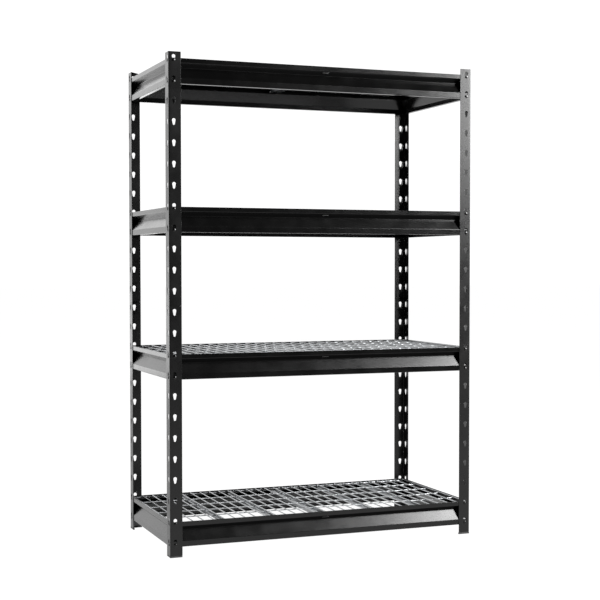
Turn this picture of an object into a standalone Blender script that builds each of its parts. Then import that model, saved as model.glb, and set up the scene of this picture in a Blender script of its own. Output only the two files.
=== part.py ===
"""Boltless steel shelving unit, 48 x 24 x 72 inches, with four tiers.

Four angle posts carry rows of keyholes. Each post is two halves and a splice, and stands
in a plastic foot. Every tier has four beams, whose fixed rivets hook into the keyholes,
a centre support whose tongues pass through the front and back beams, and a welded wire
deck on four ribs, which drops in from above.

Units are metres, +Z is up, the front faces -Y. The origin is on the floor, at the centre.
"""

import math

import bmesh
import bpy
from mathutils import Vector

MM = 0.001
INCH = 25.4 * MM

# Whole unit, measured over the posts
WIDTH = 48 * INCH
DEPTH = 24 * INCH
HEIGHT = 72 * INCH
GAP = 0.3 * MM                     # air between pieces that touch

# Posts: an angle with its corner outwards
POST_SHEET = 1.5 * MM
FLANGE = 46 * MM
KEY_PITCH = 3 * INCH
KEYS_PER_HALF = 12
SEAT_HEIGHT = 45.7 * MM            # centre of the lowest rivet seat above the floor
KEY_FROM_CORNER = 19.3 * MM
KEY_SEAT_RADIUS = 3.8 * MM
KEY_HEAD_RADIUS = 6.5 * MM
KEY_RISE = 13.8 * MM               # from the seat's centre up to the head's centre

# Splice: an inner angle across the joint of two post halves
SPLICE_LEG = 38 * MM
SPLICE_BELOW = 44 * MM             # how far it reaches below the joint
SPLICE_ABOVE = 76 * MM
SPLICE_SLOT = (19 * MM, 32 * MM)   # clears a keyhole: width, height
SPLICE_SLOT_RAISE = 7 * MM         # slot's centre above the rivet seat

# Feet: an L-shaped pad under the post with a lip up its inside
PAD_HEIGHT = 6 * MM
PAD_LEG = 6 * MM
FOOT_LIP = 3 * MM
FOOT_LIP_ROOT = 3 * MM             # height at which the lip starts inside the pad
FOOT_LIP_TOP = 30 * MM

# Tiers: the lower rivet's keyhole number, counted from the floor
TIER_KEYS = (0, 8, 15, 22)

# Beams: the same rolled section front, back and sides
BEAM_SHEET = 1.2 * MM
BEAM_BOTTOM = 1.5 * INCH           # above the tier's zero, which is key number x pitch
BEAM_HEIGHT = 92 * MM
BAND_TOP = 21 * MM                 # lower upright band
VALLEY_HEIGHT = 59 * MM            # deepest line of the V-shaped groove above the band
VALLEY_DEPTH = 19.5 * MM           # behind the outer plane
LIP_BOTTOM = 75.5 * MM             # the groove's undercut ends here, at the upper upright lip
BOTTOM_FLANGE = 16 * MM
HEM = 2.4 * MM                     # folded lip, two sheets thick
LEDGE_REACH = 24 * MM              # the deck rests on this ledge
LEDGE_TOP = 82.2 * MM

# Rivets, fixed in the beams: the shank fills the seat, the head lies outside the post
SHANK_RADIUS = 3.3 * MM
HEAD_RADIUS = 5.8 * MM
HEAD_TOP_RADIUS = 4.6 * MM
HEAD_THICKNESS = 1.8 * MM
RIVET_SIDES = 8
RIVET_ROOT = 0.6 * MM              # how deep the shank starts in the beam's sheet

# Centre support: a channel, open downwards, with a tongue at each end
SUPPORT_WIDTH = 30 * MM
SUPPORT_HEIGHT = 20 * MM
SUPPORT_SHEET = 1.5 * MM
TONGUE_WIDTH = 24 * MM
TONGUE_THICKNESS = 2 * MM
TONGUE_HEIGHT = 69 * MM            # its middle above the beam's underside
TONGUE_BACK = 6.5 * MM             # its end, behind the beam's outer plane, inside the groove
FLAP_BACK = GAP                    # the flap above a tongue, behind the channel's end
FLAP_ROOT = 0.75 * MM              # depth at which it starts in the channel's top sheet
SLOT_MARGIN = 0.8 * MM             # the slot's play above, below and beside the tongue

# Wire deck: front-to-back wires on top of cross wires, as one square-barred lattice
WIRE = 4.5 * MM
WIRE_PITCH = 40 * MM
WIRES = 31
BAR_EVERY = 3                      # this lattice keeps every third front-to-back wire
CROSS_WIRES = 6
DECK_MARGIN = 0.4 * MM             # between the deck's edge and the beams' hems
RIB_WIDTH = 18 * MM
RIB_HEIGHT = 8 * MM
RIB_SHEET = 1.2 * MM
RIB_WIRES = (5, 10, 20, 25)        # the ribs run under these wires; the leftmost is 0
RIB_MARGIN = 4 * MM                # from a rib's end to the ledge

# Worked out from the values above
POST_INSIDE = POST_SHEET + GAP                 # from the outer face to a beam's outer plane
JOINT_HEIGHT = HEIGHT / 2
DECK_THICKNESS = 2 * WIRE
DECK_BOTTOM = BEAM_BOTTOM + LEDGE_TOP + GAP    # above the tier's zero
LEDGE_EDGE = DEPTH / 2 - POST_INSIDE - LEDGE_REACH
CLEAR = 10 * MM                                # how far a cutter passes its work

# Finishes: colour, metallic, roughness
BLACK_COAT = ((0.012, 0.012, 0.013), 0.0, 0.35)
ZINC = ((0.62, 0.63, 0.64), 1.0, 0.38)
BLACK_PLASTIC = ((0.02, 0.02, 0.02), 0.0, 0.55)


def clear_scene():
    for old in list(bpy.data.objects):
        bpy.data.objects.remove(old, do_unlink=True)


def finish(name, kind):
    """The material of one piece, from one of the finishes."""
    colour, metallic, roughness = kind
    material = bpy.data.materials.new(name)
    material.use_nodes = True
    shader = material.node_tree.nodes["Principled BSDF"]
    shader.inputs["Base Color"].default_value = (*colour, 1.0)
    shader.inputs["Metallic"].default_value = metallic
    shader.inputs["Roughness"].default_value = roughness
    material.diffuse_color = (*colour, 1.0)
    return material


def place(name, mesh, kind, location=(0, 0, 0), quarter_turns=0, parent=None):
    """Put one named piece in the scene, turned about Z by quarter turns."""
    mesh = mesh.copy()
    mesh.name = name
    mesh.materials.clear()
    mesh.materials.append(finish(name, kind))
    piece = bpy.data.objects.new(name, mesh)
    piece.location = location
    piece.rotation_euler = (0, 0, quarter_turns * math.pi / 2)
    piece.parent = parent
    bpy.context.scene.collection.objects.link(piece)
    return piece


def mesh_from(work, name):
    bmesh.ops.recalc_face_normals(work, faces=work.faces)
    mesh = bpy.data.meshes.new(name)
    work.to_mesh(mesh)
    work.free()
    return mesh


def add_box(work, low, high):
    """Add a box between two corners."""
    corners = [work.verts.new((x, y, z)) for z in (low[2], high[2])
               for x, y in ((low[0], low[1]), (high[0], low[1]), (high[0], high[1]), (low[0], high[1]))]
    work.faces.new(corners[3::-1])
    work.faces.new(corners[4:])
    for i in range(4):
        j = (i + 1) % 4
        work.faces.new((corners[i], corners[j], corners[j + 4], corners[i + 4]))


def add_prism(work, start, end):
    """Add a solid between two matching closed rings of points."""
    first = [work.verts.new(p) for p in start]
    last = [work.verts.new(p) for p in end]
    count = len(first)
    work.faces.new(first[::-1])
    work.faces.new(last)
    for i in range(count):
        j = (i + 1) % count
        work.faces.new((first[i], first[j], last[j], last[i]))


def combine(mesh, tool, operation):
    """The mesh with the tool joined to it (UNION) or cut away from it (DIFFERENCE)."""
    body = bpy.data.objects.new("body", mesh)
    cutter = bpy.data.objects.new("cutter", tool)
    for item in (body, cutter):
        bpy.context.scene.collection.objects.link(item)
    modifier = body.modifiers.new("combine", "BOOLEAN")
    modifier.operation = operation
    modifier.solver = "EXACT"
    modifier.object = cutter
    graph = bpy.context.evaluated_depsgraph_get()
    result = bpy.data.meshes.new_from_object(body.evaluated_get(graph))
    for item in (body, cutter):
        bpy.data.objects.remove(item, do_unlink=True)
    return result


def angle_ring(leg, inner, outer, z):
    """An L in plan, corner at the origin, legs along +X and +Y, faces from outer to inner."""
    return [(outer, outer, z), (leg, outer, z), (leg, inner, z),
            (inner, inner, z), (inner, leg, z), (outer, leg, z)]


def angle_solid(leg, inner, outer, bottom, top, name):
    work = bmesh.new()
    add_prism(work, angle_ring(leg, inner, outer, bottom), angle_ring(leg, inner, outer, top))
    return mesh_from(work, name)


def octagon_corner(radius, turn):
    """A corner, at a turn in degrees, of the octagon drawn around a circle."""
    reach = radius / math.cos(math.pi / 8)
    return reach * math.cos(math.radians(turn)), reach * math.sin(math.radians(turn))


def keyhole_outline():
    """Keyhole about its rivet seat: the upper half of a wide octagon, tapering to a narrow one."""
    head = [(octagon_corner(KEY_HEAD_RADIUS, turn), KEY_RISE) for turn in (22.5, 67.5, 112.5, 157.5)]
    seat = [(octagon_corner(KEY_SEAT_RADIUS, turn), 0) for turn in (202.5, 247.5, 292.5, 337.5)]
    return [(x, z + lift) for (x, z), lift in head + seat]


def add_hole_cutters(work, outline, seat):
    """Cutters through both legs of an angle, for one opening at the height of a rivet seat."""
    for swap in (False, True):
        rings = []
        for reach in (-CLEAR, CLEAR):
            ring = [(KEY_FROM_CORNER + x, reach, seat + z) for x, z in outline]
            if swap:
                ring = [(y, x, z) for x, y, z in ring]
            rings.append(ring)
        add_prism(work, *rings)


def post_half(bottom, top, first_key, name):
    body = angle_solid(FLANGE, POST_SHEET, 0, bottom, top, name)
    work = bmesh.new()
    for key in range(first_key, first_key + KEYS_PER_HALF):
        add_hole_cutters(work, keyhole_outline(), SEAT_HEIGHT + key * KEY_PITCH)
    return combine(body, mesh_from(work, "keyholes"), "DIFFERENCE")


def splice():
    """Inner angle over the joint, with a slot behind each keyhole that it would cover."""
    body = angle_solid(SPLICE_LEG, POST_INSIDE + POST_SHEET, POST_INSIDE,
                       JOINT_HEIGHT - SPLICE_BELOW, JOINT_HEIGHT + SPLICE_ABOVE, "splice")
    half_width, half_height = (size / 2 for size in SPLICE_SLOT)
    slot = [(-half_width, SPLICE_SLOT_RAISE - half_height), (half_width, SPLICE_SLOT_RAISE - half_height),
            (half_width, SPLICE_SLOT_RAISE + half_height), (-half_width, SPLICE_SLOT_RAISE + half_height)]
    work = bmesh.new()
    for key in (KEYS_PER_HALF - 1, KEYS_PER_HALF):
        add_hole_cutters(work, slot, SEAT_HEIGHT + key * KEY_PITCH)
    return combine(body, mesh_from(work, "slots"), "DIFFERENCE")


def foot():
    pad = angle_solid(FLANGE, PAD_LEG, 0, 0, PAD_HEIGHT, "pad")
    lip = angle_solid(FLANGE - FOOT_LIP, POST_INSIDE + FOOT_LIP, POST_INSIDE,
                      FOOT_LIP_ROOT, FOOT_LIP_TOP, "lip")
    return combine(pad, lip, "UNION")


def inner_corner(before, corner, after, sheet):
    """The corner on the inner side of a bent sheet, given its outer side from before to after."""
    across = []
    for start, end in ((before, corner), (corner, after)):
        along = (Vector(end) - Vector(start)).normalized()
        across.append(Vector((along.y, -along.x)))
    offset = (across[0] + across[1]) * sheet / (1 + across[0].dot(across[1]))
    return corner[0] + offset.x, corner[1] + offset.y


def beam_outline():
    """Section of a beam: depth behind the outer plane, height above its underside."""
    sheet = BEAM_SHEET
    face = [(BOTTOM_FLANGE, 0), (0, 0), (0, BAND_TOP), (VALLEY_DEPTH, VALLEY_HEIGHT), (0, LIP_BOTTOM),
            (0, BEAM_HEIGHT)]
    inner = [inner_corner(*corners, sheet) for corners in zip(face, face[1:], face[2:])]
    ledge = [(HEM, BEAM_HEIGHT), (HEM, LEDGE_TOP), (LEDGE_REACH, LEDGE_TOP),
             (LEDGE_REACH, LEDGE_TOP - sheet), (sheet, LEDGE_TOP - sheet)]
    return face + ledge + inner[::-1] + [(BOTTOM_FLANGE, sheet)]


def add_rivet(work, x, z):
    """A rivet on a beam's outer plane: shank through the post's flange, head outside it."""
    head_back = -(POST_SHEET + 2 * GAP)
    profile = ((SHANK_RADIUS, RIVET_ROOT), (SHANK_RADIUS, head_back),
               (HEAD_RADIUS, head_back), (HEAD_TOP_RADIUS, head_back - HEAD_THICKNESS))
    rings = []
    for radius, y in profile:
        rings.append([work.verts.new((x + radius * math.cos(turn), y, z + radius * math.sin(turn)))
                      for turn in (math.tau * (i + 0.5) / RIVET_SIDES for i in range(RIVET_SIDES))])
    work.faces.new(rings[0])
    work.faces.new(rings[-1][::-1])
    for ring, following in zip(rings, rings[1:]):
        for i in range(RIVET_SIDES):
            j = (i + 1) % RIVET_SIDES
            work.faces.new((ring[i], following[i], following[j], ring[j]))


def beam(post_distance, slotted, name):
    """A beam between two posts whose outer faces are post_distance apart, with its four rivets.

    Its ends are mitred, so that it meets the beams at right angles to it in the corner.
    """
    half = post_distance / 2 - POST_INSIDE - GAP
    outline = beam_outline()
    work = bmesh.new()
    add_prism(work, [(depth - half, depth, z) for depth, z in outline],
              [(half - depth, depth, z) for depth, z in outline])
    body = mesh_from(work, name)
    work = bmesh.new()
    for side in (-1, 1):
        for key in (0, 1):
            add_rivet(work, side * (post_distance / 2 - KEY_FROM_CORNER),
                      SEAT_HEIGHT - BEAM_BOTTOM + key * KEY_PITCH)
    body = combine(body, mesh_from(work, "rivets"), "UNION")
    if slotted:
        half_slot = TONGUE_WIDTH / 2 + SLOT_MARGIN
        half_rise = TONGUE_THICKNESS / 2 + SLOT_MARGIN
        work = bmesh.new()
        add_box(work, (-half_slot, 0, TONGUE_HEIGHT - half_rise),
                (half_slot, VALLEY_DEPTH, TONGUE_HEIGHT + half_rise))
        body = combine(body, mesh_from(work, "slot"), "DIFFERENCE")
    return body


def channel_ring(width, height, sheet, y):
    """A channel open downwards, seen along Y, its top face at z = 0."""
    half = width / 2
    return [(-half, y, -height), (-half, y, 0), (half, y, 0), (half, y, -height),
            (half - sheet, y, -height), (half - sheet, y, -sheet),
            (sheet - half, y, -sheet), (sheet - half, y, -height)]


def channel(width, height, sheet, half_length, name):
    work = bmesh.new()
    add_prism(work, channel_ring(width, height, sheet, -half_length),
              channel_ring(width, height, sheet, half_length))
    return mesh_from(work, name)


def centre_support():
    """Channel with a flap and a tongue at each end; the tongue passes through the beam's undercut."""
    half_length = LEDGE_EDGE - GAP
    body = channel(SUPPORT_WIDTH, SUPPORT_HEIGHT, SUPPORT_SHEET, half_length, "support")
    tongue_end = DEPTH / 2 - POST_INSIDE - TONGUE_BACK
    tongue_middle = TONGUE_HEIGHT - LEDGE_TOP           # below the channel's top face
    tongue_top = tongue_middle + TONGUE_THICKNESS / 2
    tongue_bottom = tongue_middle - TONGUE_THICKNESS / 2
    outside = half_length - FLAP_BACK
    inside = outside - SUPPORT_SHEET
    top = -FLAP_ROOT
    half = TONGUE_WIDTH / 2
    work = bmesh.new()
    for side in (-1, 1):
        flap = [(inside, top), (outside, top), (outside, tongue_top), (tongue_end, tongue_top),
                (tongue_end, tongue_bottom), (inside, tongue_bottom)]
        add_prism(work, [(-half, side * y, z) for y, z in flap], [(half, side * y, z) for y, z in flap])
    return combine(body, mesh_from(work, "ends"), "UNION")


def wire_x(number):
    """Distance of a front-to-back wire from the unit's middle."""
    return (number - (WIRES - 1) / 2) * WIRE_PITCH


def deck_lattice():
    """The deck's wires as square bars of one height: a plate with its meshes cut out."""
    half_depth = DEPTH / 2 - POST_INSIDE - HEM - DECK_MARGIN
    half_width = -wire_x(0) + WIRE / 2
    cross = [(-1 + 2 * i / (CROSS_WIRES - 1)) * (half_depth - WIRE / 2) for i in range(CROSS_WIRES)]
    bars = [wire_x(number) for number in range(0, WIRES, BAR_EVERY)]
    work = bmesh.new()
    add_box(work, (-half_width, -half_depth, 0), (half_width, half_depth, DECK_THICKNESS))
    plate = mesh_from(work, "deck")
    work = bmesh.new()
    for left, right in zip(bars, bars[1:]):
        for front, back in zip(cross, cross[1:]):
            add_box(work, (left + WIRE / 2, front + WIRE / 2, -CLEAR),
                    (right - WIRE / 2, back - WIRE / 2, DECK_THICKNESS + CLEAR))
    return combine(plate, mesh_from(work, "meshes"), "DIFFERENCE")


def build_posts():
    lower = post_half(PAD_HEIGHT + GAP, JOINT_HEIGHT, 0, "post_lower")
    upper = post_half(JOINT_HEIGHT + GAP, HEIGHT, KEYS_PER_HALF, "post_upper")
    inner = splice()
    pad = foot()
    corners = (("front_left", -1, -1), ("front_right", 1, -1), ("back_right", 1, 1), ("back_left", -1, 1))
    for turns, (corner, x, y) in enumerate(corners):
        spot = (x * WIDTH / 2, y * DEPTH / 2, 0)
        place("post_lower_" + corner, lower, BLACK_COAT, spot, turns)
        place("post_upper_" + corner, upper, BLACK_COAT, spot, turns)
        place("post_splice_" + corner, inner, BLACK_COAT, spot, turns)
        place("foot_" + corner, pad, BLACK_PLASTIC, spot, turns)


def build_tiers():
    long_beam = beam(WIDTH, True, "long_beam")
    short_beam = beam(DEPTH, False, "short_beam")
    support = centre_support()
    lattice = deck_lattice()
    rib = channel(RIB_WIDTH, RIB_HEIGHT, RIB_SHEET, LEDGE_EDGE - RIB_MARGIN, "rib")
    across, along = WIDTH / 2 - POST_INSIDE, DEPTH / 2 - POST_INSIDE
    sides = (("front", long_beam, 0, -along), ("right", short_beam, across, 0),
             ("back", long_beam, 0, along), ("left", short_beam, -across, 0))
    for tier, key in enumerate(TIER_KEYS, start=1):
        zero = key * KEY_PITCH
        for turns, (side, mesh, x, y) in enumerate(sides):
            place(f"beam_{tier}_{side}", mesh, BLACK_COAT, (x, y, zero + BEAM_BOTTOM), turns)
        place(f"centre_support_{tier}", support, ZINC, (0, 0, zero + BEAM_BOTTOM + LEDGE_TOP))
        seat = bpy.data.objects.new(f"deck_{tier}_seat", None)
        seat.location = (0, 0, zero + DECK_BOTTOM)
        bpy.context.scene.collection.objects.link(seat)
        place(f"deck_{tier}_mesh", lattice, ZINC, parent=seat)
        for number, wire in enumerate(RIB_WIRES, start=1):
            place(f"deck_{tier}_rib_{number}", rib, ZINC, (wire_x(wire), 0, -GAP), parent=seat)


clear_scene()
build_posts()
build_tiers()
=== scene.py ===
"""Looks of the boltless steel shelving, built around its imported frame.

A finer piece stands for every node of the frame, at the same place: sheet metal gets its bends
and broken edges, keyholes and rivets are round, and the decks get all their round wires.
Units are metres, +Z is up, the front faces -Y.
"""

import math

import bmesh
import bpy
from mathutils import Matrix, Vector


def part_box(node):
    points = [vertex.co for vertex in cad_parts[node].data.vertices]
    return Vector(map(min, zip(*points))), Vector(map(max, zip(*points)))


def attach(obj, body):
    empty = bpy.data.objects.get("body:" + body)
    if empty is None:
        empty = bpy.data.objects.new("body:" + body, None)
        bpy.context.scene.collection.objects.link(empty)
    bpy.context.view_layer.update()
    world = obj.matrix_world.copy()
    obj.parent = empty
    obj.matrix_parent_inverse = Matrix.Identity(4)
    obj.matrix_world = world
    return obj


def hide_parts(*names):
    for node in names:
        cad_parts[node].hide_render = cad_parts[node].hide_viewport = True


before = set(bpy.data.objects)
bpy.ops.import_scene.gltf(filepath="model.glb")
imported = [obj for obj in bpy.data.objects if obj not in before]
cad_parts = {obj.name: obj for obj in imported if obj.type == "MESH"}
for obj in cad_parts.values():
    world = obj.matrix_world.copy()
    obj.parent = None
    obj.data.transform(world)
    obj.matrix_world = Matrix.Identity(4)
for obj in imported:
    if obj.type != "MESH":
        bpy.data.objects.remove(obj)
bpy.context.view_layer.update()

MM = 0.001
GAP = 0.3 * MM                     # air between pieces that touch
EDGE = 0.3 * MM                    # broken edge of cut sheet
ARC_STEP = math.radians(20)        # finest turn between two points of a bend
SHARP = math.radians(40)           # edges that turn more than this stay sharp

# Posts and their keyholes
POST_SHEET = 1.5 * MM
POST_BEND = 3.2 * MM               # outer radius of the fold
FLANGE = 46 * MM
KEY_PITCH = 76.2 * MM
SEAT_HEIGHT = 45.7 * MM            # centre of the lowest rivet seat above the floor
KEY_FROM_CORNER = 19.3 * MM
KEY_SEAT_RADIUS = 3.8 * MM
KEY_HEAD_RADIUS = 6.5 * MM
KEY_RISE = 13.8 * MM               # from the seat's centre up to the head's centre
HEAD_STEPS = 16
SEAT_STEPS = 10

# Splices
SPLICE_LEG = 38 * MM
SPLICE_SLOT = (19 * MM, 32 * MM)
SPLICE_SLOT_ROUND = 4 * MM
SPLICE_SLOT_RAISE = 7 * MM         # slot's centre above the rivet seat

# Feet
PAD_HEIGHT = 6 * MM
PAD_LEG = 6 * MM
FOOT_LIP = 3 * MM
FOOT_LIP_ROOT = 3 * MM
FOOT_LIP_TOP = 30 * MM
FOOT_ROUND = 1 * MM

# Beams
BEAM_SHEET = 1.2 * MM
BAND_TOP = 21 * MM
VALLEY_HEIGHT = 59 * MM            # deepest line of the V-shaped groove
VALLEY_DEPTH = 19.5 * MM
LIP_BOTTOM = 75.5 * MM
BEAM_HEIGHT = 92 * MM
BOTTOM_FLANGE = 16 * MM
HEM = 2.4 * MM
LEDGE_REACH = 24 * MM
LEDGE_TOP = 82.2 * MM
TIGHT_BEND = 0.8 * MM              # inner radius of a square bend
SOFT_BEND = 3 * MM                 # inner radius where the sheet only turns a little

# Rivets
SHANK_RADIUS = 3.3 * MM
HEAD_RADIUS = 5.8 * MM
HEAD_THICKNESS = 1.8 * MM
HEAD_RIM = 0.5 * MM                # upright part of the head's side
HEAD_CORNER = 0.35 * MM
RIVET_ROOT = 0.6 * MM
RIVET_SIDES = 24
DOME_STEPS = 5

# Centre supports
SUPPORT_WIDTH = 30 * MM
SUPPORT_HEIGHT = 20 * MM
SUPPORT_SHEET = 1.5 * MM
TONGUE_WIDTH = 24 * MM
TONGUE_THICKNESS = 2 * MM
TONGUE_HEIGHT = 69 * MM            # its middle above the beam's underside
TONGUE_BACK = 6.5 * MM             # its end, behind the beam's outer plane
FLAP_ROOT = 0.75 * MM
SLOT_MARGIN = 0.8 * MM
PAINTED_SHADE_INSET = 3 * MM                # painted shade: black on the flap and tongue, standing in for the shadow under the ledge and in the beams' slots, starts this far inside the ledge

# Decks
WIRE = 4.5 * MM
WIRE_PITCH = 40 * MM
WIRES = 31
CROSS_WIRES = 6
WIRE_SIDES = 12
WELD_SINK = 0.35 * MM              # how far crossing wires are pressed into each other
WELD_RADIUS = 2.7 * MM
WELD_HEIGHT = 1.9 * MM
WELD_TURNS = (-65, -25, 25, 65)    # degrees above the joint, up the weld's rounded side
WELD_SIDES = 8
RIB_WIDTH = 18 * MM
RIB_HEIGHT = 8 * MM
RIB_SHEET = 1.2 * MM
RIB_WIRES = (5, 10, 20, 25)
RIB_MARGIN = 4 * MM

# Coats: greyness, lowest and highest roughness
COAT_IOR = 1.4
POST_COAT = (0.002, 0.24, 0.3)
BEAM_COAT = (0.001, 0.15, 0.2)
# painted shade: black given to the ends of the centre supports, where the beams' ledges and slots shade
# them
PAINTED_SHADE_BLACK = (0.01, 0.01, 0.01)
WEAR_RADIUS = 0.5 * MM             # how far wear reaches around an edge

# Read from the frame
TIERS = 4
CORNERS = ("front_left", "front_right", "back_right", "back_left")   # at 0, 1, 2 and 3 quarter turns
SIDES = ("front", "right", "back", "left")
unit_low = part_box("post_lower_front_left")[0]
unit_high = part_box("post_upper_back_right")[1]
WIDTH = unit_high.x - unit_low.x
DEPTH = unit_high.y - unit_low.y
POST_INSIDE = POST_SHEET + GAP
LEDGE_EDGE = DEPTH / 2 - POST_INSIDE - LEDGE_REACH


# Outlines and solids


def rounded(corners):
    """A closed outline through corners given as (x, y, radius), each turned into an arc."""
    outline = []
    for i, (x, y, radius) in enumerate(corners):
        here = Vector((x, y))
        back = (Vector(corners[i - 1][:2]) - here).normalized()
        ahead = (Vector(corners[(i + 1) % len(corners)][:2]) - here).normalized()
        opening = back.angle(ahead)
        centre = here + (back + ahead).normalized() * radius / math.sin(opening / 2)
        start = here + back * radius / math.tan(opening / 2) - centre
        sweep = math.copysign(math.pi - opening, ahead.cross(back))
        steps = math.ceil(abs(sweep) / ARC_STEP - 1e-6)
        for step in range(steps + 1):
            outline.append(centre + Matrix.Rotation(sweep * step / steps, 2) @ start)
    return outline


def shrunk(outline, distance):
    """The outline moved inwards by a distance, corner by corner."""
    count = len(outline)
    area = sum(outline[i - 1].cross(outline[i]) for i in range(count))
    turn = math.copysign(1, area)
    result = []
    for i, here in enumerate(outline):
        before = (here - outline[i - 1]).normalized()
        after = (outline[(i + 1) % count] - here).normalized()
        normal = Vector((-before.y - after.y, before.x + after.x)) * turn
        normal.normalize()
        spread = max(0.3, normal.dot(Vector((-before.y, before.x)) * turn))
        result.append(here + normal * distance / spread)
    return result


def add_loop(work, points):
    return [work.verts.new(p) for p in points]


def bridge(work, first, second):
    """Faces between two loops of equally many vertices."""
    for i in range(len(first)):
        work.faces.new((first[i - 1], first[i], second[i], second[i - 1]))


def add_tube(work, loops):
    """A closed solid through loops of points, capped at both ends."""
    made = [add_loop(work, loop) for loop in loops]
    for first, second in zip(made, made[1:]):
        bridge(work, first, second)
    work.faces.new(made[0])
    work.faces.new(made[-1])


def extruded(work, outline, start, end, along):
    """A prism of a 2-D outline with broken end edges; along(u, v, w) turns it into a 3-D point."""
    inner = shrunk(outline, EDGE)
    stations = ((inner, start), (outline, start + EDGE), (outline, end - EDGE), (inner, end))
    add_tube(work, [[along(p.x, p.y, w) for p in ring] for ring, w in stations])


def turned(work, profile, sides, place):
    """A solid of revolution: profile of (radius, height) from pole to pole, placed by a function."""
    loops = []
    for radius, height in profile:
        turns = (math.tau * i / sides for i in range(sides))
        loops.append([place(radius * math.cos(t), radius * math.sin(t), height) for t in turns])
    add_tube(work, loops)


def finished(work, name):
    """The mesh of a finished piece: smooth bends beside flat faces."""
    bmesh.ops.remove_doubles(work, verts=work.verts, dist=1e-7)
    bmesh.ops.recalc_face_normals(work, faces=work.faces)
    mesh = bpy.data.meshes.new(name)
    work.to_mesh(mesh)
    work.free()
    return shaded(mesh, name)


def shaded(mesh, name):
    """The mesh with normals that follow its large faces, so that only the bends look round."""
    mesh.shade_smooth()
    mesh.set_sharp_from_angle(angle=SHARP)
    holder = bpy.data.objects.new("holder", mesh)
    bpy.context.scene.collection.objects.link(holder)
    weighted = holder.modifiers.new("weighted", "WEIGHTED_NORMAL")
    weighted.keep_sharp = True
    weighted.weight = 100
    graph = bpy.context.evaluated_depsgraph_get()
    result = bpy.data.meshes.new_from_object(holder.evaluated_get(graph))
    result.name = name
    bpy.data.objects.remove(holder, do_unlink=True)
    return result


def cut(mesh, tool):
    """The mesh with a tool cut away from it."""
    body = bpy.data.objects.new("body", mesh)
    cutter = bpy.data.objects.new("cutter", tool)
    for item in (body, cutter):
        bpy.context.scene.collection.objects.link(item)
    modifier = body.modifiers.new("cut", "BOOLEAN")
    modifier.operation = "DIFFERENCE"
    modifier.solver = "EXACT"
    modifier.object = cutter
    graph = bpy.context.evaluated_depsgraph_get()
    result = bpy.data.meshes.new_from_object(body.evaluated_get(graph))
    for item in (body, cutter):
        bpy.data.objects.remove(item, do_unlink=True)
    return result


# Posts, splices and feet


def keyhole(grow):
    """Keyhole about its rivet seat, grown by a distance: two arcs with straight sides."""
    tilt = math.asin((KEY_HEAD_RADIUS - KEY_SEAT_RADIUS) / KEY_RISE)
    arcs = ((KEY_HEAD_RADIUS + grow, KEY_RISE, -tilt, math.pi + tilt, HEAD_STEPS),
            (KEY_SEAT_RADIUS + grow, 0, math.pi + tilt, math.tau - tilt, SEAT_STEPS))
    points = []
    for radius, height, start, end, steps in arcs:
        for i in range(steps + 1):
            turn = start + (end - start) * i / steps
            points.append((radius * math.cos(turn), height + radius * math.sin(turn)))
    return points


def splice_slot(grow):
    """Upright slot with rounded corners about the rivet seat, grown by a distance."""
    half_width, half_height = (size / 2 + grow for size in SPLICE_SLOT)
    corners = ((-1, -1), (1, -1), (1, 1), (-1, 1))
    outline = rounded([(x * half_width, SPLICE_SLOT_RAISE + y * half_height, SPLICE_SLOT_ROUND + grow)
                       for x, y in corners])
    return [(p.x, p.y) for p in outline]


def punched_angle(leg, face, sheet, bend, bottom, top, opening, name):
    """A folded angle, its corner at the origin and its legs along +X and +Y, with punched openings.

    face is the distance from the corner's planes to the angle's outer faces.
    """
    back = face + sheet
    section = rounded([(leg, face, EDGE), (face, face, bend), (face, leg, EDGE), (back, leg, EDGE),
                       (back, back, bend - sheet), (leg, back, EDGE)])
    seats = [SEAT_HEIGHT + n * KEY_PITCH for n in range(math.ceil((top - SEAT_HEIGHT) / KEY_PITCH))]
    seats = [seat for seat in seats if bottom < seat < top]
    work = bmesh.new()
    low = add_loop(work, [(p.x, p.y, bottom + EDGE) for p in section])
    high = add_loop(work, [(p.x, p.y, top - EDGE) for p in section])
    for ring, z in ((low, bottom), (high, top)):
        cap = add_loop(work, [(p.x, p.y, z) for p in shrunk(section, EDGE)])
        bridge(work, ring, cap)
        work.faces.new(cap)

    rings = {}
    for swap in (False, True):
        for depth, grow in ((face, EDGE), (face + EDGE, 0), (back - EDGE, 0), (back, EDGE)):
            for seat in seats:
                points = [(KEY_FROM_CORNER + x, depth, seat + z) for x, z in opening(grow)]
                if swap:
                    points = [(y, x, z) for x, y, z in points]
                rings.setdefault((swap, seat), []).append(add_loop(work, points))
    for stack in rings.values():
        for first, second in zip(stack, stack[1:]):
            bridge(work, first, second)

    for i in range(len(section)):
        corners = (low[i - 1], low[i], high[i], high[i - 1])
        if (section[i] - section[i - 1]).length < leg / 2:
            work.faces.new(corners)
            continue
        swap = abs(section[i].x - section[i - 1].x) < EDGE
        near = abs((section[i].x if swap else section[i].y) - face) < EDGE
        sides = [(corners[k - 1], corners[k]) for k in range(len(corners))]
        edges = [work.edges.get(side) or work.edges.new(side) for side in sides]
        for seat in seats:
            ring = rings[swap, seat][0 if near else -1]
            edges += [work.edges.get((ring[k - 1], ring[k])) for k in range(len(ring))]
        bmesh.ops.triangle_fill(work, use_beauty=True, edges=edges)
    return finished(work, name)


def rounded_angle(work, leg, inner, outer, bottom, top, radius):
    """A moulded angle with all its edges rounded."""
    solid = bmesh.new()
    ring = [(outer, outer), (leg, outer), (leg, inner), (inner, inner), (inner, leg), (outer, leg)]
    add_tube(solid, [[(x, y, z) for x, y in ring] for z in (bottom, top)])
    bmesh.ops.recalc_face_normals(solid, faces=solid.faces)
    bmesh.ops.bevel(solid, geom=solid.edges[:], offset=radius, segments=3, profile=0.5, affect="EDGES")
    scratch = bpy.data.meshes.new("scratch")
    solid.to_mesh(scratch)
    solid.free()
    work.from_mesh(scratch)
    bpy.data.meshes.remove(scratch)


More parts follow.
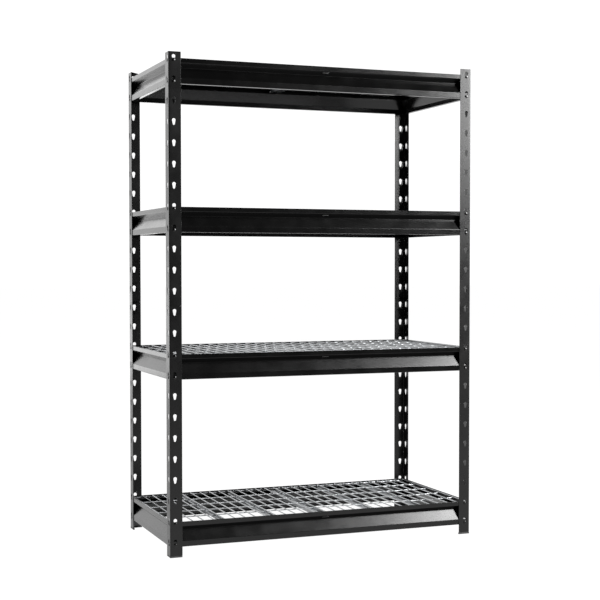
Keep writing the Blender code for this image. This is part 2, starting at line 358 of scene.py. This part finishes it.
def foot():
    work = bmesh.new()
    rounded_angle(work, FLANGE, PAD_LEG, 0, 0, PAD_HEIGHT, FOOT_ROUND)
    rounded_angle(work, FLANGE - FOOT_LIP, POST_INSIDE + FOOT_LIP, POST_INSIDE,
                  FOOT_LIP_ROOT, FOOT_LIP_TOP, FOOT_ROUND)
    return finished(work, "foot")


# Beams


def inner_corner(before, corner, after, sheet):
    """The corner on the inner side of a bent sheet, given its outer side from before to after."""
    across = []
    for start, end in ((before, corner), (corner, after)):
        along = (Vector(end) - Vector(start)).normalized()
        across.append(Vector((along.y, -along.x)))
    offset = (across[0] + across[1]) * sheet / (1 + across[0].dot(across[1]))
    return corner[0] + offset.x, corner[1] + offset.y


def beam_section():
    """Section of a beam: depth behind the outer plane, height above its underside, bend radius."""
    sheet = BEAM_SHEET
    face = [(BOTTOM_FLANGE, 0), (0, 0), (0, BAND_TOP), (VALLEY_DEPTH, VALLEY_HEIGHT), (0, LIP_BOTTOM),
            (0, BEAM_HEIGHT)]
    inner = [inner_corner(*corners, sheet) for corners in zip(face, face[1:], face[2:])]
    outside_bends = (TIGHT_BEND + sheet, SOFT_BEND + sheet, TIGHT_BEND, TIGHT_BEND + sheet)
    inside_bends = (TIGHT_BEND, SOFT_BEND, TIGHT_BEND + sheet, TIGHT_BEND)
    section = [(BOTTOM_FLANGE, 0, EDGE)]
    section += [(*corner, bend) for corner, bend in zip(face[1:], outside_bends)]
    section += [(0, BEAM_HEIGHT, sheet - EDGE / 2), (HEM, BEAM_HEIGHT, sheet - EDGE / 2),
                (HEM, LEDGE_TOP, TIGHT_BEND), (LEDGE_REACH, LEDGE_TOP, EDGE),
                (LEDGE_REACH, LEDGE_TOP - sheet, EDGE), (sheet, LEDGE_TOP - sheet, EDGE)]
    section += [(*corner, bend) for corner, bend in zip(inner[::-1], inside_bends[::-1])]
    return rounded(section + [(BOTTOM_FLANGE, sheet, EDGE)])


def rivet_profile():
    """Half section of a rivet: shank, then a head with a low dome; heights count outwards."""
    back = POST_SHEET + 2 * GAP
    dome = HEAD_THICKNESS - HEAD_RIM
    ball = (HEAD_RADIUS ** 2 + dome ** 2) / (2 * dome)
    widest = math.asin(HEAD_RADIUS / ball)
    profile = [(SHANK_RADIUS, -RIVET_ROOT), (SHANK_RADIUS, back), (HEAD_RADIUS - HEAD_CORNER, back),
               (HEAD_RADIUS, back + HEAD_CORNER)]
    for i in range(DOME_STEPS + 1):
        turn = widest * (1 - i / (DOME_STEPS + 0.5))
        profile.append((ball * math.sin(turn), back + HEAD_THICKNESS - ball * (1 - math.cos(turn))))
    return profile


def beam(length, slotted, name):
    """A beam whose outer plane is y = 0, mitred at both ends, with its four rivets.

    length is the distance between the outer faces of the two posts.
    """
    half = length / 2 - POST_INSIDE - GAP
    section = beam_section()
    work = bmesh.new()
    add_tube(work, [[(side * (half - p.x), p.x, p.y) for p in section] for side in (-1, 1)])
    body = finished(work, name)
    if slotted:
        half_slot = TONGUE_WIDTH / 2 + SLOT_MARGIN
        half_rise = TONGUE_THICKNESS / 2 + SLOT_MARGIN
        work = bmesh.new()
        slot = rounded([(x * half_slot, TONGUE_HEIGHT + z * half_rise, half_rise / 2)
                        for x, z in ((-1, -1), (1, -1), (1, 1), (-1, 1))])
        add_tube(work, [[(p.x, y, p.y) for p in slot] for y in (0, VALLEY_DEPTH)])
        body = shaded(cut(body, finished(work, "slot")), name)
    work = bmesh.new()
    work.from_mesh(body)
    for side in (-1, 1):
        for rivet in (0, 1):
            x = side * (length / 2 - KEY_FROM_CORNER)
            z = SEAT_HEIGHT + rivet * KEY_PITCH - BEAM_ABOVE_FLOOR
            turned(work, rivet_profile(), RIVET_SIDES, lambda u, v, w: (x + u, -w, z + v))
    return finished(work, name)


BEAM_ABOVE_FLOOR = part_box("beam_1_front")[0].z


# Centre supports and decks


def channel(work, width, height, sheet, bend, half_length):
    """A channel open downwards, its top face at z = 0, running along Y."""
    half = width / 2
    outline = rounded([(-half, -height, EDGE), (-half, 0, bend), (half, 0, bend), (half, -height, EDGE),
                       (half - sheet, -height, EDGE), (half - sheet, -sheet, bend - sheet),
                       (sheet - half, -sheet, bend - sheet), (sheet - half, -height, EDGE)])
    extruded(work, outline, -half_length, half_length, lambda u, v, w: (u, w, v))


def centre_support():
    """Channel with a flap at each end, bent outwards into a tongue."""
    half_length = LEDGE_EDGE - GAP
    work = bmesh.new()
    channel(work, SUPPORT_WIDTH, SUPPORT_HEIGHT, SUPPORT_SHEET, 2 * SUPPORT_SHEET, half_length)
    tongue_end = DEPTH / 2 - POST_INSIDE - TONGUE_BACK
    middle = TONGUE_HEIGHT - LEDGE_TOP
    upper, lower = middle + TONGUE_THICKNESS / 2, middle - TONGUE_THICKNESS / 2
    outside = half_length - GAP
    inside = outside - SUPPORT_SHEET
    flap = rounded([(inside, -FLAP_ROOT, EDGE), (outside, -FLAP_ROOT, EDGE),
                    (outside, upper, TIGHT_BEND), (tongue_end, upper, EDGE), (tongue_end, lower, EDGE),
                    (inside, lower, TIGHT_BEND + SUPPORT_SHEET)])
    half = TONGUE_WIDTH / 2
    for side in (-1, 1):
        extruded(work, flap, -half, half, lambda u, v, w: (w, side * u, v))
    return finished(work, "centre_support")


def wire_x(number):
    """Distance of a front-to-back wire from the unit's middle."""
    return (number - (WIRES - 1) / 2) * WIRE_PITCH


def add_wire(work, half_length, place):
    """A round wire with broken ends."""
    radius = WIRE / 2
    broken = 2 * EDGE
    stations = ((radius - broken, -half_length), (radius, broken - half_length),
                (radius, half_length - broken), (radius - broken, half_length))
    turned(work, stations, WIRE_SIDES, place)


def deck_wires():
    """The welded wires of one deck, its underside at z = 0."""
    low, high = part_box("deck_1_mesh")
    half_width, half_depth = (high.x - low.x) / 2, (high.y - low.y) / 2
    across = [(2 * i / (CROSS_WIRES - 1) - 1) * (half_depth - WIRE / 2) for i in range(CROSS_WIRES)]
    lower, upper = WIRE / 2, 1.5 * WIRE - WELD_SINK
    joint = WIRE - WELD_SINK / 2
    weld = [(WELD_RADIUS * math.cos(t), WELD_HEIGHT / 2 * math.sin(t))
            for t in map(math.radians, WELD_TURNS)]
    work = bmesh.new()
    for y in across:
        add_wire(work, half_width, lambda u, v, w: (w, y + u, lower + v))
    for number in range(WIRES):
        x = wire_x(number)
        add_wire(work, half_depth, lambda u, v, w: (x + u, w, upper + v))
        for y in across:
            turned(work, weld, WELD_SIDES, lambda u, v, w: (x + u, y + v, joint + w))
    return finished(work, "deck_wires")


def deck_rib():
    work = bmesh.new()
    channel(work, RIB_WIDTH, RIB_HEIGHT, RIB_SHEET, 2 * RIB_SHEET, LEDGE_EDGE - RIB_MARGIN)
    return finished(work, "deck_rib")


# Materials


class Graph:
    """A material's node tree with short calls for the nodes used here."""

    def __init__(self, name, colour, metallic, roughness):
        self.material = bpy.data.materials.new(name)
        self.material.use_nodes = True
        self.material.diffuse_color = (*colour, 1.0)
        self.tree = self.material.node_tree
        self.shader = self.tree.nodes["Principled BSDF"]
        self.shader.inputs["Base Color"].default_value = (*colour, 1.0)
        self.shader.inputs["Metallic"].default_value = metallic
        self.shader.inputs["Roughness"].default_value = roughness

    def node(self, kind, inputs=(), **settings):
        """A node, with its settings; inputs maps a socket's name to a value or to another's output."""
        node = self.tree.nodes.new("ShaderNode" + kind)
        for setting, value in settings.items():
            setattr(node, setting, value)
        for socket, value in dict(inputs).items():
            self.feed(node.inputs[socket], value)
        return node

    def feed(self, socket, value):
        if isinstance(value, bpy.types.NodeSocket):
            self.tree.links.new(value, socket)
        else:
            socket.default_value = value

    def math(self, operation, *values):
        node = self.node("Math", operation=operation)
        for socket, value in zip(node.inputs, values):
            self.feed(socket, value)
        return node.outputs[0]

    def coordinates(self, stretch=(1, 1, 1)):
        """The piece's own coordinates, moved by a different amount on each piece."""
        place = self.node("TexCoord").outputs["Object"]
        shift = self.math("MULTIPLY", self.node("ObjectInfo").outputs["Random"], 10.0)
        moved = self.node("VectorMath", operation="ADD")
        self.feed(moved.inputs[0], place)
        self.feed(moved.inputs[1], shift)
        return self.node("Mapping", {"Vector": moved.outputs[0], "Scale": stretch}).outputs[0]

    def noise(self, size, where, detail):
        """Noise whose blobs are about this size, in metres."""
        inputs = {"Vector": where, "Scale": 1 / size, "Detail": detail}
        return self.node("TexNoise", inputs).outputs["Fac"]

    def ranged(self, value, low, high, to_low, to_high):
        inputs = {"Value": value, "From Min": low, "From Max": high, "To Min": to_low, "To Max": to_high}
        return self.node("MapRange", inputs).outputs[0]

    def mix(self, factor, first, second):
        node = self.node("Mix", data_type="RGBA")
        self.feed(node.inputs["Factor"], factor)
        self.feed(node.inputs["A"], (*first, 1.0) if isinstance(first, tuple) else first)
        self.feed(node.inputs["B"], (*second, 1.0) if isinstance(second, tuple) else second)
        return node.outputs["Result"]

    def edges(self):
        """1 on sharp edges, 0 on flat and softly bent faces."""
        soft = self.node("Bevel", {"Radius": WEAR_RADIUS}, samples=4).outputs[0]
        hard = self.node("NewGeometry").outputs["Normal"]
        match = self.node("VectorMath", operation="DOT_PRODUCT")
        self.feed(match.inputs[0], soft)
        self.feed(match.inputs[1], hard)
        return self.ranged(match.outputs["Value"], 0.99, 0.8, 0.0, 1.0)

    def bump(self, height, distance, normal=None):
        node = self.node("Bump", {"Height": height, "Distance": distance})
        if normal:
            self.feed(node.inputs["Normal"], normal)
        return node.outputs[0]

    def set(self, socket, value):
        self.feed(self.shader.inputs[socket], value)


def black_coat(name, base, gloss_low, gloss_high):
    """Black powder coat: orange peel, a slight cloudiness, and rubbed edges.

    base is how grey it is, and its roughness varies between the two gloss values.
    """
    graph = Graph(name, (base, base, base), 0.0, gloss_low)
    graph.shader.inputs["IOR"].default_value = COAT_IOR
    where = graph.coordinates()
    cloud = graph.noise(60 * MM, where, detail=3.0)
    grain = graph.noise(1.2 * MM, where, detail=1.0)
    rubbed = graph.math("MULTIPLY", graph.edges(), graph.noise(9 * MM, where, detail=4.0))
    rubbed = graph.ranged(rubbed, 0.45, 0.7, 0.0, 1.0)
    graph.set("Base Color", graph.mix(rubbed, (base, base, base), (0.03, 0.03, 0.031)))
    gloss = graph.ranged(cloud, 0.3, 0.7, gloss_low, gloss_high)
    gloss = graph.math("ADD", gloss, graph.math("MULTIPLY", grain, 0.03))
    graph.set("Roughness", graph.math("ADD", gloss, graph.math("MULTIPLY", rubbed, 0.2)))
    peel = graph.bump(graph.noise(5 * MM, where, detail=1.0), 0.05 * MM)
    graph.set("Normal", graph.bump(grain, 0.006 * MM, normal=peel))
    return graph.material


def wire_zinc(name):
    """Zinc-plated drawn wire: fine lines along it and faint blotches."""
    graph = Graph(name, (0.4, 0.41, 0.42), 1.0, 0.32)
    where = graph.coordinates()
    blotch = graph.noise(22 * MM, where, detail=3.0)
    drawn = graph.noise(0.7 * MM, graph.coordinates((1.0, 0.05, 1.0)), detail=2.0)
    graph.set("Base Color", graph.mix(graph.ranged(blotch, 0.35, 0.7, 0.0, 1.0),
                                      (0.44, 0.45, 0.46), (0.35, 0.36, 0.37)))
    graph.set("Roughness", graph.ranged(graph.math("ADD", blotch, drawn), 0.6, 1.4, 0.26, 0.42))
    graph.set("Normal", graph.bump(drawn, 0.02 * MM))
    return graph.material


def sheet_zinc(name, shade_from):
    """Galvanised sheet: a fine spangle, dull patches and brighter cut edges.

    Beyond a distance from the unit's middle it turns black: painted shade for the shadow under the
    beams' ledges and in their slots.
    """
    graph = Graph(name, (0.4, 0.41, 0.42), 1.0, 0.4)
    where = graph.coordinates()
    spangle = graph.node("TexVoronoi", {"Vector": where, "Scale": 1 / (7 * MM)}).outputs["Color"]
    spangle = graph.node("SeparateColor", {"Color": spangle}).outputs[0]
    patch = graph.noise(35 * MM, where, detail=4.0)
    shade = graph.math("ADD", graph.math("MULTIPLY", spangle, 0.35), graph.math("MULTIPLY", patch, 0.65))
    shade = graph.math("ADD", shade, graph.math("MULTIPLY", graph.edges(), -0.3))
    bare = graph.mix(graph.ranged(shade, 0.25, 0.75, 0.0, 1.0), (0.46, 0.47, 0.48), (0.3, 0.31, 0.32))
    place = graph.node("SeparateXYZ", {"Vector": graph.node("TexCoord").outputs["Object"]})
    away = graph.math("ABSOLUTE", place.outputs["Y"])
    away = graph.math("ADD", away, graph.math("MULTIPLY", patch, 1 * MM))
    # painted shade: black and not metallic beyond this distance, for the shadow under the ledge and in
    # the slot
    shade_mask = graph.math("GREATER_THAN", away, shade_from)
    graph.set("Base Color", graph.mix(shade_mask, bare, PAINTED_SHADE_BLACK))
    graph.set("Metallic", graph.math("SUBTRACT", 1.0, shade_mask))
    graph.set("Roughness", graph.ranged(shade, 0.25, 0.75, 0.3, 0.48))
    graph.set("Normal", graph.bump(graph.noise(1.5 * MM, where, detail=3.0), 0.015 * MM))
    return graph.material


def moulded_plastic(name):
    """Matt black plastic with a fine moulded grain."""
    graph = Graph(name, (0.018, 0.018, 0.018), 0.0, 0.5)
    where = graph.coordinates()
    grain = graph.noise(0.6 * MM, where, detail=3.0)
    scuff = graph.noise(8 * MM, where, detail=5.0)
    graph.set("Base Color", graph.mix(graph.ranged(scuff, 0.55, 0.75, 0.0, 1.0),
                                      (0.016, 0.016, 0.016), (0.035, 0.034, 0.033)))
    graph.set("Roughness", graph.ranged(scuff, 0.3, 0.7, 0.45, 0.6))
    graph.set("Normal", graph.bump(grain, 0.03 * MM))
    return graph.material


# Placing the pieces


def piece(node, mesh, material, body, location=(0, 0, 0), quarter_turns=0):
    """A finer piece that stands for one node of the frame."""
    thing = bpy.data.objects.new(node + "_fine", mesh)
    bpy.context.scene.collection.objects.link(thing)
    thing.location = location
    thing.rotation_euler = (0, 0, quarter_turns * math.pi / 2)
    if not mesh.materials:
        mesh.materials.append(material)
    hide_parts(node)
    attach(thing, body)


def build_posts():
    coat, inner_coat = black_coat("post_coat", *POST_COAT), black_coat("splice_coat", *POST_COAT)
    plastic = moulded_plastic("foot_plastic")
    shapes = {}
    for part in ("lower", "upper"):
        low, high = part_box(f"post_{part}_front_left")
        shapes[part] = punched_angle(FLANGE, 0, POST_SHEET, POST_BEND, low.z, high.z, keyhole,
                                     "post_" + part)
    low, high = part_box("post_splice_front_left")
    shapes["splice"] = punched_angle(SPLICE_LEG, POST_INSIDE, POST_SHEET, POST_BEND,
                                     low.z, high.z, splice_slot, "post_splice")
    pad = foot()
    for turns, corner in enumerate(CORNERS):
        x = -WIDTH / 2 if "left" in corner else WIDTH / 2
        y = -DEPTH / 2 if "front" in corner else DEPTH / 2
        for part, material, slot in (("lower", coat, "post_coat"), ("upper", coat, "post_coat"),
                                     ("splice", inner_coat, "splice_coat")):
            piece(f"post_{part}_{corner}", shapes[part], material, "frame", (x, y, 0), turns)
        piece("foot_" + corner, pad, plastic, "frame", (x, y, 0), turns)


def build_tiers():
    coat, wire = black_coat("beam_coat", *BEAM_COAT), wire_zinc("deck_wire")
    zinc = sheet_zinc("support_zinc", LEDGE_EDGE - PAINTED_SHADE_INSET)
    rib_zinc = sheet_zinc("deck_rib", DEPTH)       # further out than any rib reaches, so none of it gets the painted shade
    long_beam, short_beam = beam(WIDTH, True, "long_beam"), beam(DEPTH, False, "short_beam")
    support, wires, rib = centre_support(), deck_wires(), deck_rib()
    across, along = WIDTH / 2 - POST_INSIDE, DEPTH / 2 - POST_INSIDE
    places = ((0, -along), (across, 0), (0, along), (-across, 0))
    for tier in range(1, TIERS + 1):
        for turns, (side, (x, y)) in enumerate(zip(SIDES, places)):
            node = f"beam_{tier}_{side}"
            shape = short_beam if side in ("left", "right") else long_beam
            piece(node, shape, coat, "frame", (x, y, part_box(node)[0].z), turns)
        node = f"centre_support_{tier}"
        piece(node, support, zinc, "frame", (0, 0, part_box(node)[1].z))
        node = f"deck_{tier}_mesh"
        piece(node, wires, wire, f"deck_{tier}", (0, 0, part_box(node)[0].z))
        for number, under in enumerate(RIB_WIRES, start=1):
            node = f"deck_{tier}_rib_{number}"
            place = (wire_x(under), 0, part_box(node)[1].z)
            piece(node, rib, rib_zinc, f"deck_{tier}", place)


# Floor, camera and light

CAMERA_PLACE = (-1.878, -4.987, 1.060)
CAMERA_YAW = 0.380                 # to the right of +Y, in radians
CAMERA_PITCH = 0.0345              # below the horizon
CAMERA_LENS = 80.3
CAMERA_SHIFT = (-0.0408, 0.020)
FLOOR_FRONT = -4.3                 # nearer than the camera, so that the fronts don't mirror a floor
FLOOR_REACH = 60
WORLD_LIGHT = 0.03                 # what the world gives to the unit
WORLD_SEEN = 1.1                   # how bright the camera sees it
SOFT_BOXES = (                     # name, azimuth, distance, bottom, width, height, lean, radiance
    ("key", 54, 6, 1.9, 5.1, 5.4, 14, 29),
    ("back_low", -160, 7.5, 0, 9.0, 2.5, 0, 1.4),
    ("back_high", -160, 7.5, 2.5, 9.0, 3.0, 0, 1.9),
)


def build_camera():
    data = bpy.data.cameras.new("camera")
    data.lens = CAMERA_LENS
    data.shift_x, data.shift_y = CAMERA_SHIFT
    data.clip_start, data.clip_end = 0.05, 100
    camera = bpy.data.objects.new("camera", data)
    camera.location = CAMERA_PLACE
    camera.rotation_euler = (math.pi / 2 - CAMERA_PITCH, 0, -CAMERA_YAW)
    bpy.context.scene.collection.objects.link(camera)
    bpy.context.scene.camera = camera


def build_floor():
    """A pale floor that reaches far behind and beside the unit, and a few metres in front of it."""
    work = bmesh.new()
    work.faces.new(add_loop(work, [(-FLOOR_REACH, FLOOR_FRONT, 0), (FLOOR_REACH, FLOOR_FRONT, 0),
                                   (FLOOR_REACH, FLOOR_REACH, 0), (-FLOOR_REACH, FLOOR_REACH, 0)]))
    mesh = bpy.data.meshes.new("floor")
    work.to_mesh(mesh)
    work.free()
    floor = bpy.data.objects.new("floor", mesh)
    bpy.context.scene.collection.objects.link(floor)
    graph = Graph("floor", (0.05, 0.05, 0.05), 0.0, 0.9)
    graph.shader.inputs["Specular IOR Level"].default_value = 0.0
    graph.shader.inputs["Emission Color"].default_value = (1, 1, 1, 1)
    graph.shader.inputs["Emission Strength"].default_value = 1.0
    mesh.materials.append(graph.material)


def soft_box(name, azimuth, distance, bottom, width, height, lean, radiance):
    """A rectangular soft light that faces the unit.

    azimuth counts in degrees to the right of -Y, lean in degrees backwards from upright.
    """
    data = bpy.data.lights.new(name, "AREA")
    data.shape = "RECTANGLE"
    data.size, data.size_y = width, height
    data.energy = radiance * math.pi * width * height
    light = bpy.data.objects.new(name, data)
    turn, tilt = math.radians(azimuth), math.radians(lean)
    reach = distance + height / 2 * math.sin(tilt)
    middle = bottom + height / 2 * math.cos(tilt)
    light.location = (math.sin(turn) * reach, -math.cos(turn) * reach, middle)
    light.rotation_euler = (math.pi / 2 + tilt, 0, turn)
    bpy.context.scene.collection.objects.link(light)


def build_light():
    world = bpy.data.worlds.new("studio")
    bpy.context.scene.world = world
    world.use_nodes = True
    tree = world.node_tree
    tree.nodes.clear()
    output = tree.nodes.new("ShaderNodeOutputWorld")
    background = tree.nodes.new("ShaderNodeBackground")
    background.inputs["Color"].default_value = (1, 1, 1, 1)
    path = tree.nodes.new("ShaderNodeLightPath")
    strength = tree.nodes.new("ShaderNodeMapRange")
    strength.inputs["To Min"].default_value = WORLD_LIGHT
    strength.inputs["To Max"].default_value = WORLD_SEEN
    tree.links.new(path.outputs["Is Camera Ray"], strength.inputs["Value"])
    tree.links.new(strength.outputs[0], background.inputs["Strength"])
    tree.links.new(background.outputs[0], output.inputs["Surface"])
    for box in SOFT_BOXES:
        soft_box(*box)
    bpy.context.scene.view_settings.view_transform = "Standard"


build_posts()
build_tiers()
build_floor()
build_camera()
build_light()
